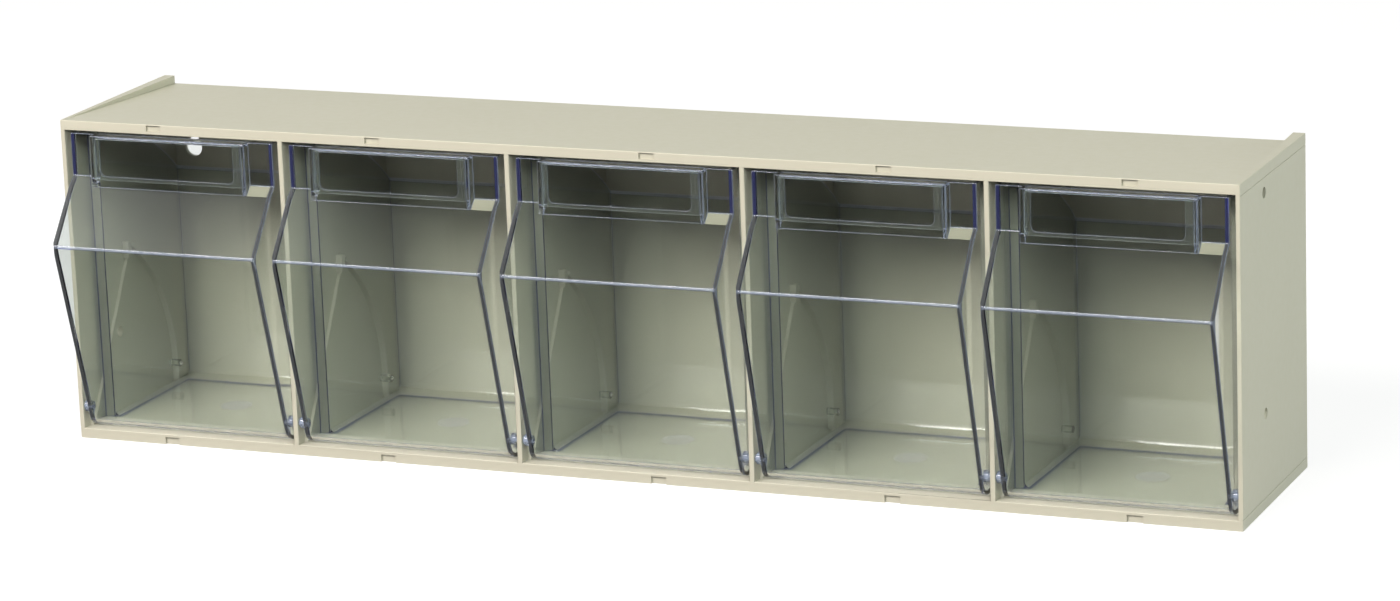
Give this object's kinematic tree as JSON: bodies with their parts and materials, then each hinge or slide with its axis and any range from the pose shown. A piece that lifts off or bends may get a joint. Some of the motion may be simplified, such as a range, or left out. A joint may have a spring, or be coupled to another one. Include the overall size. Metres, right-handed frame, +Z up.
{
  "type": "parts bin cabinet",
  "caption": "Wall or bench parts cabinet: a moulded housing with a row of clear bins that each tip forward on low pivots.",
  "frame": {"origin": "centre of the base of the bounding box, on the surface that the cabinet stands on", "axes": "+X along the row of bins to the right as seen from the front, +Y to the back, +Z up; the bins face -Y"},
  "size_m": [0.6, 0.1332, 0.162],
  "materials": {
    "housing": "satin moulded, beige",
    "bin": "clear, polished mould",
    "label_frame": "satin, grey green"
  },
  "bodies": {
    "root": {"housing_shell": "housing", "divider_1": "housing", "divider_2": "housing", "divider_3": "housing", "divider_4": "housing"},
    "bin_1_body": {"bin_1": "bin", "label_frame_1": "label_frame"},
    "bin_2_body": {"bin_2": "bin", "label_frame_2": "label_frame"},
    "bin_3_body": {"bin_3": "bin", "label_frame_3": "label_frame"},
    "bin_4_body": {"bin_4": "bin", "label_frame_4": "label_frame"},
    "bin_5_body": {"bin_5": "bin", "label_frame_5": "label_frame"}
  },
  "joints": [
    {"name": "bin_1_tilt", "type": "hinge", "parent": "root", "child": "bin_1_body", "pos_m": [-0.23952, -0.0389, 0.016], "axis": [1, 0, 0], "range_deg": [0, 53]},
    {"name": "bin_2_tilt", "type": "hinge", "parent": "root", "child": "bin_2_body", "pos_m": [-0.12, -0.0389, 0.016], "axis": [1, 0, 0], "range_deg": [0, 53]},
    {"name": "bin_3_tilt", "type": "hinge", "parent": "root", "child": "bin_3_body", "pos_m": [0, -0.0389, 0.016], "axis": [1, 0, 0], "range_deg": [0, 53]},
    {"name": "bin_4_tilt", "type": "hinge", "parent": "root", "child": "bin_4_body", "pos_m": [0.12, -0.0389, 0.016], "axis": [1, 0, 0], "range_deg": [0, 53]},
    {"name": "bin_5_tilt", "type": "hinge", "parent": "root", "child": "bin_5_body", "pos_m": [0.23952, -0.0389, 0.016], "axis": [1, 0, 0], "range_deg": [0, 53]}
  ]
}
